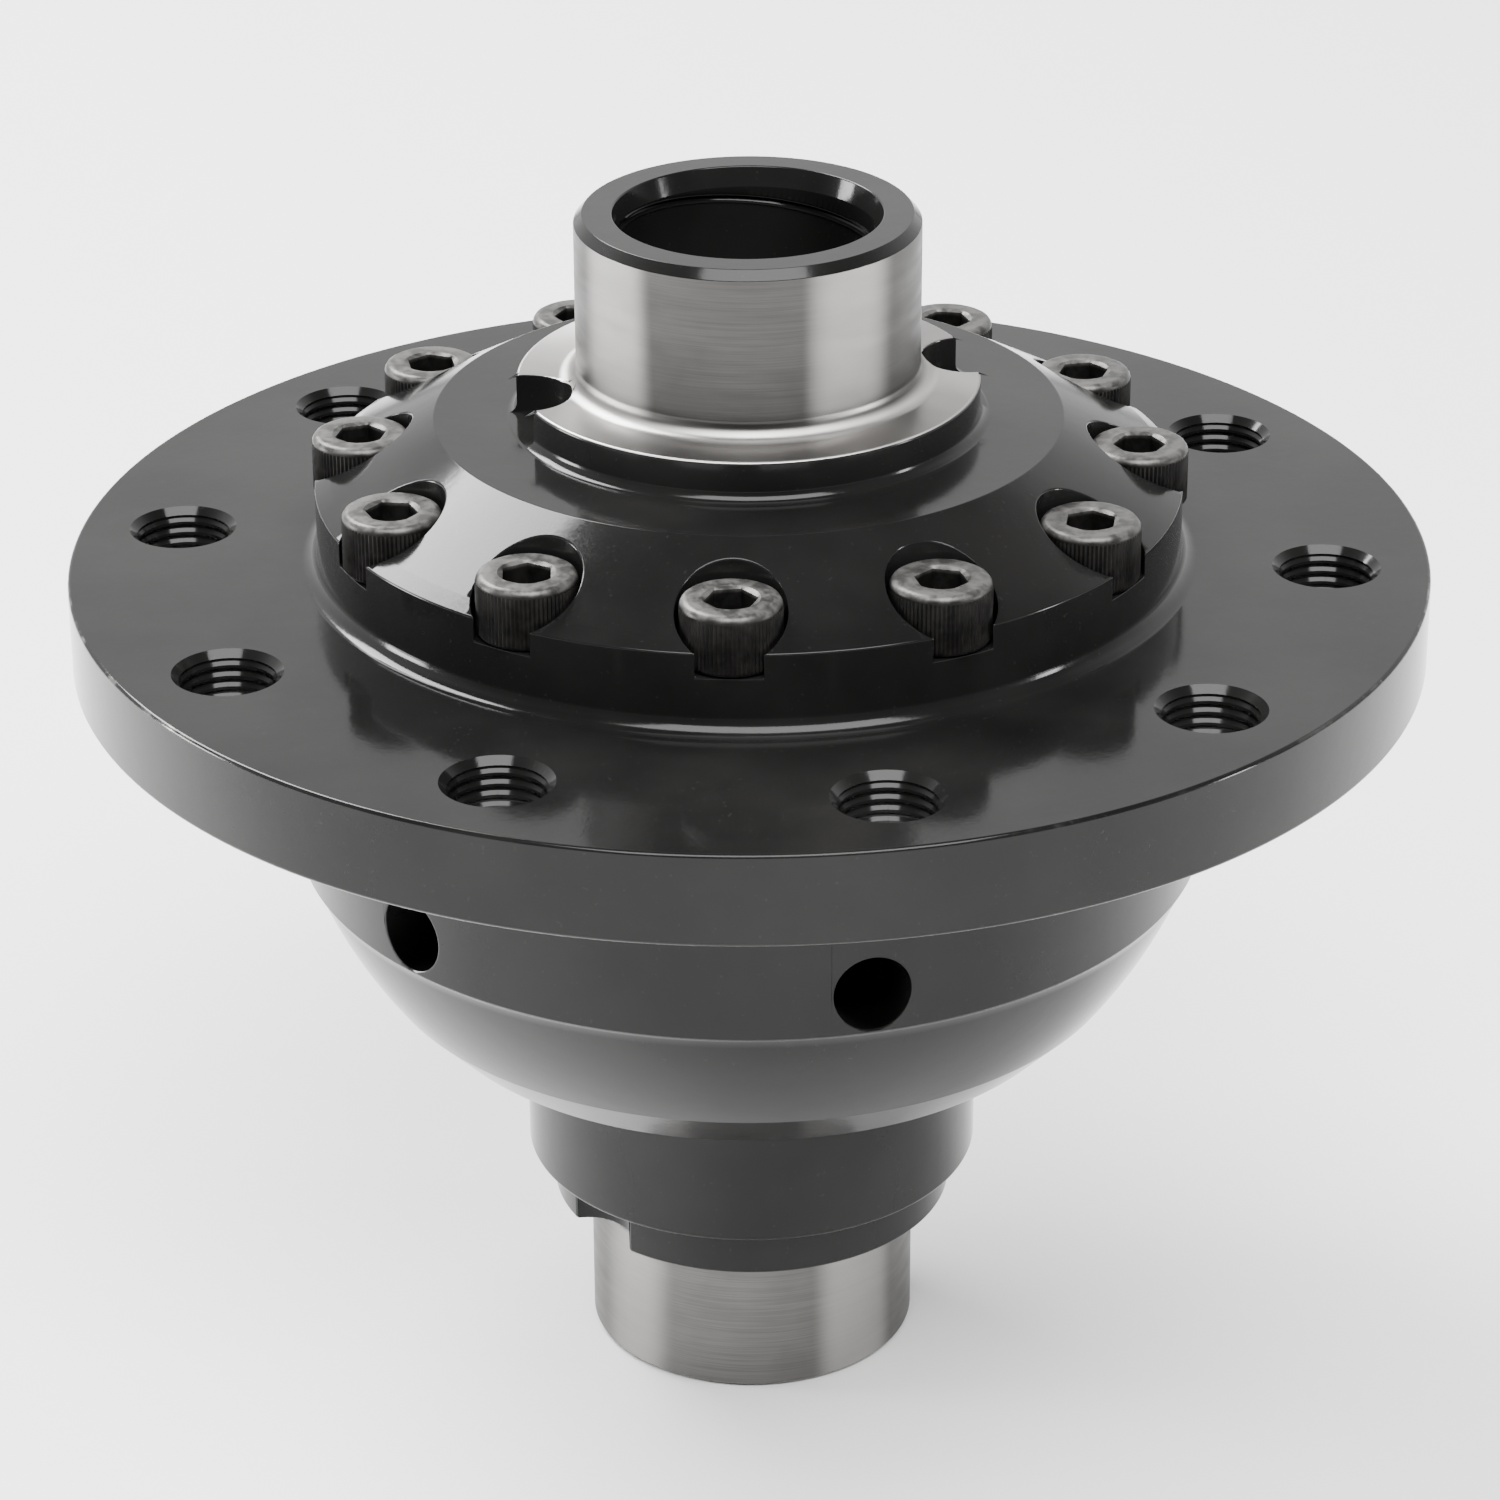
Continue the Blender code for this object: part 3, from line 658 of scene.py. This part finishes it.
class Nodes:
    """Short calls for one material's node tree."""

    def __init__(self, name, roughness=0.3, metallic=0.0, **fixed):
        self.material = bpy.data.materials.new(name)
        self.material.use_nodes = True
        self.tree = self.material.node_tree
        self.shader = self.tree.nodes["Principled BSDF"]
        self.shader.inputs["Roughness"].default_value = roughness
        self.shader.inputs["Metallic"].default_value = metallic
        for socket, value in fixed.items():
            self.shader.inputs[socket.replace("_", " ")].default_value = value
        coordinates = self.tree.nodes.new("ShaderNodeTexCoord")
        self.place = coordinates.outputs["Object"]

    def add(self, kind, **settings):
        node = self.tree.nodes.new(kind)
        for key, value in settings.items():
            setattr(node, key, value)
        return node

    def link(self, source, target):
        if isinstance(source, (int, float)):
            target.default_value = source
        else:
            self.tree.links.new(source, target)

    def math(self, operation, first, second=0.0, third=None):
        node = self.add("ShaderNodeMath", operation=operation)
        self.link(first, node.inputs[0])
        self.link(second, node.inputs[1])
        if third is not None:
            self.link(third, node.inputs[2])
        return node.outputs[0]

    def noise(self, scale, detail=2.0, roughness=0.5, stretch=(1, 1, 1)):
        """Noise whose scale times stretch is in cycles a metre."""
        mapping = self.add("ShaderNodeMapping")
        mapping.inputs["Scale"].default_value = stretch
        self.link(self.place, mapping.inputs["Vector"])
        texture = self.add("ShaderNodeTexNoise")
        self.link(mapping.outputs[0], texture.inputs["Vector"])
        texture.inputs["Scale"].default_value = scale
        texture.inputs["Detail"].default_value = detail
        texture.inputs["Roughness"].default_value = roughness
        return texture.outputs["Fac"]

    def ramp(self, value, low, high, out_low=0.0, out_high=1.0):
        """value from low..high mapped smoothly to out_low..out_high."""
        node = self.add("ShaderNodeMapRange", interpolation_type="SMOOTHSTEP")
        self.link(value, node.inputs["Value"])
        node.inputs["From Min"].default_value = low
        node.inputs["From Max"].default_value = high
        node.inputs["To Min"].default_value = out_low
        node.inputs["To Max"].default_value = out_high
        return node.outputs["Result"]

    def mix(self, factor, first, second):
        """Two colours, each a socket or an RGB triple, mixed by a factor."""
        node = self.add("ShaderNodeMix", data_type="RGBA")
        self.link(factor, node.inputs["Factor"])
        for color, socket in ((first, node.inputs[6]), (second, node.inputs[7])):
            if isinstance(color, tuple):
                socket.default_value = (*color, 1.0)
            else:
                self.tree.links.new(color, socket)
        return node.outputs[2]

    def cylinder(self):
        """(distance from the Z axis, height), both in metres."""
        split = self.add("ShaderNodeSeparateXYZ")
        self.link(self.place, split.inputs[0])
        x, y, z = split.outputs
        squares = self.math("ADD", self.math("MULTIPLY", x, x), self.math("MULTIPLY", y, y))
        return self.math("SQRT", squares), z

    def bump(self, layers):
        """layers is a list of (height socket, height in metres)."""
        normal = None
        for height, depth in layers:
            node = self.add("ShaderNodeBump")
            node.inputs["Strength"].default_value = 1.0
            node.inputs["Distance"].default_value = depth
            self.link(height, node.inputs["Height"])
            if normal:
                self.link(normal, node.inputs["Normal"])
            normal = node.outputs["Normal"]
        self.link(normal, self.shader.inputs["Normal"])


def black_coating():
    n = Nodes("black_coating", IOR=1.28)
    radius, height = n.cylinder()
    grain = n.noise(2600, 2.0, 0.6)
    peel = n.noise(420, 2.0, 0.5)
    cloud = n.noise(38, 3.0, 0.55)
    tone = n.mix(n.ramp(cloud, 0.3, 0.7), (0.0062, 0.0062, 0.0061), (0.0105, 0.0103, 0.0100))
    specks = n.ramp(n.noise(1500, 1.0, 0.5), 0.70, 0.78)
    tone = n.mix(n.math("MULTIPLY", specks, 0.2), tone, (0.04, 0.04, 0.039))
    # The flange's outer top edge is worn to bare metal here and there.
    rim = n.math("MULTIPLY", n.ramp(radius, 0.08975, 0.0900), n.ramp(height, 0.1172, 0.1176))
    chips = n.ramp(n.noise(70, 4.0, 0.7), 0.50, 0.62)
    chips = n.math("MULTIPLY", chips, n.ramp(n.noise(9, 1.0), 0.45, 0.6))
    worn = n.math("MULTIPLY", rim, chips)
    color = n.mix(worn, tone, (0.20, 0.195, 0.19))
    n.link(color, n.shader.inputs["Base Color"])
    n.link(n.math("MULTIPLY", worn, 0.9), n.shader.inputs["Metallic"])
    rough = n.ramp(cloud, 0.25, 0.75, 0.09, 0.13)
    rough = n.math("ADD", rough, n.math("MULTIPLY", n.ramp(grain, 0.3, 0.7), 0.04))
    n.link(rough, n.shader.inputs["Roughness"])
    n.bump([(peel, 0.000012), (grain, 0.0000035)])
    return n.material


def ground_steel():
    """Bare steel, ground round the axis, with painted reflections: soft lighter and darker stripes along it,
    set by the angle round the axis, and painted shade that darkens the upper journal.
    """
    n = Nodes("ground_steel", metallic=1.0, Anisotropic=0.8)
    split = n.add("ShaderNodeSeparateXYZ")
    n.link(n.place, split.inputs[0])
    x, y, height = split.outputs
    lines = n.noise(1.0, 3.0, 0.6, stretch=(60, 60, 5200))
    broad = n.noise(1.0, 2.0, 0.5, stretch=(90, 90, 500))
    cloud = n.noise(75, 3.0, 0.6)
    # Painted reflection: the base colour lightens and darkens with the angle round the axis, four stripes a
    # turn, bent a little by noise.
    swirl = n.math("MULTIPLY", n.noise(1.0, 2.0, 0.5, stretch=(60, 60, 4)), 2.4)
    angle = n.math("MULTIPLY_ADD", n.math("ARCTAN2", y, x), 4.0, swirl)
    painted_reflection_bands = n.math("COSINE", n.math("SUBTRACT", angle, 3.12))
    tone = n.mix(n.ramp(lines, 0.3, 0.7), (0.115, 0.112, 0.108), (0.145, 0.141, 0.137))
    tone = n.mix(n.math("MULTIPLY", n.ramp(cloud, 0.4, 0.75), 0.4), tone, (0.085, 0.082, 0.079))
    # Painted shade: the journal above about 144 mm is darkened a little over halfway towards near black.
    upper = n.math("MULTIPLY", n.ramp(height, 0.1435, 0.1445), 0.55)
    tone = n.mix(upper, tone, (0.02, 0.0195, 0.019))
    # The painted reflection stripes lighten the base colour towards 0.5.
    tone = n.mix(n.ramp(painted_reflection_bands, 0.1, 1.0, 0.0, 0.46), tone, (0.50, 0.485, 0.47))
    shoulder = n.math("MULTIPLY", n.ramp(height, 0.1440, 0.1430), n.ramp(height, 0.139, 0.140))
    tone = n.mix(n.math("MULTIPLY", shoulder, 0.6), tone, (0.62, 0.605, 0.59))
    n.link(tone, n.shader.inputs["Base Color"])
    rough = n.math("ADD", n.ramp(broad, 0.3, 0.7, 0.30, 0.38), n.math("MULTIPLY", cloud, 0.08))
    n.link(rough, n.shader.inputs["Roughness"])
    n.bump([(lines, 0.0000015), (broad, 0.000002)])
    return n.material


def black_oxide():
    n = Nodes("black_oxide", metallic=0.6, IOR=1.3)
    height = n.cylinder()[1]
    cloud = n.noise(500, 3.0, 0.6)
    grain = n.noise(3000, 2.0, 0.6)
    top = n.ramp(height, 0.0071, 0.0077)
    tone = n.mix(n.ramp(cloud, 0.35, 0.7), (0.010, 0.0096, 0.0092), (0.020, 0.019, 0.018))
    worn = n.mix(n.ramp(cloud, 0.35, 0.65), (0.045, 0.044, 0.042), (0.12, 0.117, 0.112))
    n.link(n.mix(top, tone, worn), n.shader.inputs["Base Color"])
    n.link(n.ramp(cloud, 0.3, 0.7, 0.34, 0.48), n.shader.inputs["Roughness"])
    n.bump([(grain, 0.000006)])
    return n.material


def gear_steel(name, dark, light, low_rough, high_rough):
    n = Nodes(name, metallic=1.0)
    cloud = n.noise(120, 3.0, 0.6)
    lines = n.noise(1.0, 2.0, 0.5, stretch=(400, 400, 3000))
    n.link(n.mix(n.ramp(cloud, 0.3, 0.7), dark, light), n.shader.inputs["Base Color"])
    n.link(n.ramp(lines, 0.3, 0.7, low_rough, high_rough), n.shader.inputs["Roughness"])
    n.bump([(lines, 0.000004)])
    return n.material


# Assembly


def paint_shell(obj, coating, steel, is_bare):
    """The coating everywhere, and bare steel on the faces that is_bare picks.

    It gets the face's distance from the axis and height, and how far it faces up and outwards."""
    obj.data.materials.clear()
    obj.data.materials.append(coating)
    obj.data.materials.append(steel)
    for face in obj.data.polygons:
        centre = face.center / MM
        radius = math.hypot(centre.x, centre.y)
        outward = face.normal.x * centre.x + face.normal.y * centre.y
        outward /= max(radius, 0.01)
        face.material_index = int(is_bare(radius, centre.z, face.normal.z, outward))


def upper_bare(radius, z, up, outward):
    on_journal = radius < JOURNAL_R + 2.6 and UPPER_SHOULDER_Z - 0.1 < z < TOP_Z - 1.25
    outside = outward > 0.15 or up > 0.3
    by_shoulder = UPPER_SHOULDER_Z - 0.15 < z < UPPER_SHOULDER_Z + 3
    on_shoulder = by_shoulder and up > 0.7 and radius > 20
    return (on_journal and outside and radius > 22) or on_shoulder


def lower_bare(radius, z, up, outward):
    return z < LOWER_SHOULDER_Z - 0.15 and radius > 21.5 and (outward > 0.15 or up < -0.3)


def place_gears(steel):
    phases = {1: 0.0, -1: math.pi / SIDE_TEETH}
    for side, node in ((1, "upper_side_gear"), (-1, "lower_side_gear")):
        gear = add_object(f"{node}_fine", side_gear_mesh(node, side, phases[side]))
        gear.data.materials.append(steel)
        claim(gear, node, node)
    for letter, side in (("a", 1), ("b", -1)):
        mesh = pinion_mesh(f"pinion_{letter}", side)
        mesh.materials.append(steel)
        for i in range(PAIR_COUNT):
            angle = PAIR_PHASE + 360 / PAIR_COUNT * i - side * PAIR_HALF_ANGLE
            node = f"pinion_{letter}_{i + 1}"
            pinion = add_object(f"{node}_fine", mesh)
            pinion.location = polar(PINION_CIRCLE_R, angle) * MM
            pinion.rotation_euler.z = mesh_phase(angle, phases[side])
            claim(pinion, node, node)


def claim(piece, body, node):
    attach(piece, body)
    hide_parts(node)


def build_object():
    coating = black_coating()
    steel = ground_steel()
    oxide = black_oxide()
    gears = gear_steel("gear_steel", (0.20, 0.195, 0.19), (0.34, 0.33, 0.32), 0.25, 0.42)
    washers = gear_steel("hardened_steel", (0.30, 0.29, 0.28), (0.42, 0.41, 0.40), 0.2, 0.35)
    springs = gear_steel("spring_steel", (0.14, 0.15, 0.18), (0.26, 0.27, 0.30), 0.2, 0.32)

    cover = make_cover()
    paint_shell(cover, coating, steel, upper_bare)
    claim(cover, "carrier", "cover")
    case = make_case()
    paint_shell(case, coating, steel, lower_bare)
    claim(case, "carrier", "case")

    mesh = screw_mesh()
    mesh.materials.append(oxide)
    for i in range(SCREW_COUNT):
        node = f"cap_screw_{i + 1:02d}"
        screw = add_object(f"{node}_fine", mesh)
        angle = SCREW_PHASE + 360 / SCREW_COUNT * i
        screw.location = polar(SCREW_CIRCLE_R, angle, HEAD_SEAT_Z) * MM
        screw.rotation_euler.z = math.radians(37 * i)
        claim(screw, "carrier", node)

    place_gears(gears)
    for node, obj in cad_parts.items():
        if "washer" in node or node == "centre_block":
            set_material(obj, washers)
        elif "spring" in node:
            set_material(obj, springs)


def set_material(obj, material):
    if not obj.material_slots:
        obj.data.materials.append(material)
    for slot in obj.material_slots:
        slot.material = material


# Stage, camera and light

CAMERA_AZIMUTH = -12.5
CAMERA_ELEVATION = 25.99
CAMERA_DISTANCE = 0.677
CAMERA_TARGET = Vector((0.0, 0.0, 0.0876))
CAMERA_LENS = 119.56
CAMERA_ROLL = -0.243
WORLD_LEVEL = 1.55


def camera_place(azimuth, elevation, distance):
    """A point seen from the target at this azimuth, 0 being on the -Y side, and elevation."""
    turn = math.radians(azimuth - 90)
    lift = math.radians(elevation)
    way = Vector((math.cos(turn) * math.cos(lift), math.sin(turn) * math.cos(lift), math.sin(lift)))
    return CAMERA_TARGET + way * distance


def make_camera():
    data = bpy.data.cameras.new("camera")
    data.lens = CAMERA_LENS
    data.sensor_width = 36.0
    camera = bpy.data.objects.new("camera", data)
    bpy.context.scene.collection.objects.link(camera)
    camera.location = camera_place(CAMERA_AZIMUTH, CAMERA_ELEVATION, CAMERA_DISTANCE)
    aim = (CAMERA_TARGET - camera.location).to_track_quat("-Z", "Y").to_matrix().to_4x4()
    roll = Matrix.Rotation(math.radians(CAMERA_ROLL), 4, "Z")
    camera.rotation_euler = (aim @ roll).to_euler()
    bpy.context.scene.camera = camera


def make_floor():
    """A wide, flat, pale sheet just under the lower journal."""
    mesh = bpy.data.meshes.new("floor")
    shape = bmesh.new()
    bmesh.ops.create_grid(shape, x_segments=8, y_segments=8, size=4.0)
    shape.to_mesh(mesh)
    shape.free()
    floor = add_object("floor", mesh)
    floor.location.z = -0.4 * MM
    n = Nodes("floor", roughness=0.75)
    cloud = n.noise(6, 2.0, 0.5)
    n.link(n.mix(cloud, (0.94, 0.94, 0.94), (0.96, 0.96, 0.96)), n.shader.inputs["Base Color"])
    floor.data.materials.append(n.material)


def area_light(name, azimuth, elevation, distance, size, power):
    data = bpy.data.lights.new(name, "AREA")
    data.shape = "RECTANGLE"
    data.size, data.size_y = size
    data.energy = power
    light = bpy.data.objects.new(name, data)
    bpy.context.scene.collection.objects.link(light)
    light.location = camera_place(CAMERA_AZIMUTH + azimuth, elevation, distance)
    light.rotation_euler = (CAMERA_TARGET - light.location).to_track_quat("-Z", "Y").to_euler()
    light.visible_camera = False


def make_world():
    """Bright low down behind the object, dark overhead and on the camera's side."""
    world = bpy.data.worlds.new("studio")
    world.use_nodes = True
    nodes, links = world.node_tree.nodes, world.node_tree.links
    split = nodes.new("ShaderNodeSeparateXYZ")
    links.new(nodes.new("ShaderNodeTexCoord").outputs["Generated"], split.inputs[0])

    def fade(axis, *limits):
        node = nodes.new("ShaderNodeMapRange")
        node.interpolation_type = "SMOOTHSTEP"
        links.new(split.outputs[axis], node.inputs["Value"])
        for socket, value in zip(("From Min", "From Max", "To Min", "To Max"), limits):
            node.inputs[socket].default_value = value
        return node.outputs["Result"]

    product = nodes.new("ShaderNodeMath")
    product.operation = "MULTIPLY"
    links.new(fade("Z", 0.5, 0.8, WORLD_LEVEL, 0.08 * WORLD_LEVEL), product.inputs[0])
    links.new(fade("Y", -0.3, 0.5, 0.15, 1.0), product.inputs[1])
    nodes["Background"].inputs["Color"].default_value = (1.0, 1.0, 1.0, 1.0)
    links.new(product.outputs[0], nodes["Background"].inputs["Strength"])
    bpy.context.scene.world = world


def make_lights():
    make_world()
    area_light("key_softbox", -137, 47, 1.4, (0.66, 0.66), 50)
    area_light("right_strip", 78, 4, 0.9, (0.1, 0.3), 4)
    area_light("left_strip", -94, 4, 0.9, (0.22, 0.3), 9)
    area_light("floor_wash", 8, 60, 2.6, (2.3, 1.7), 185)


build_object()
make_camera()
make_floor()
make_lights()
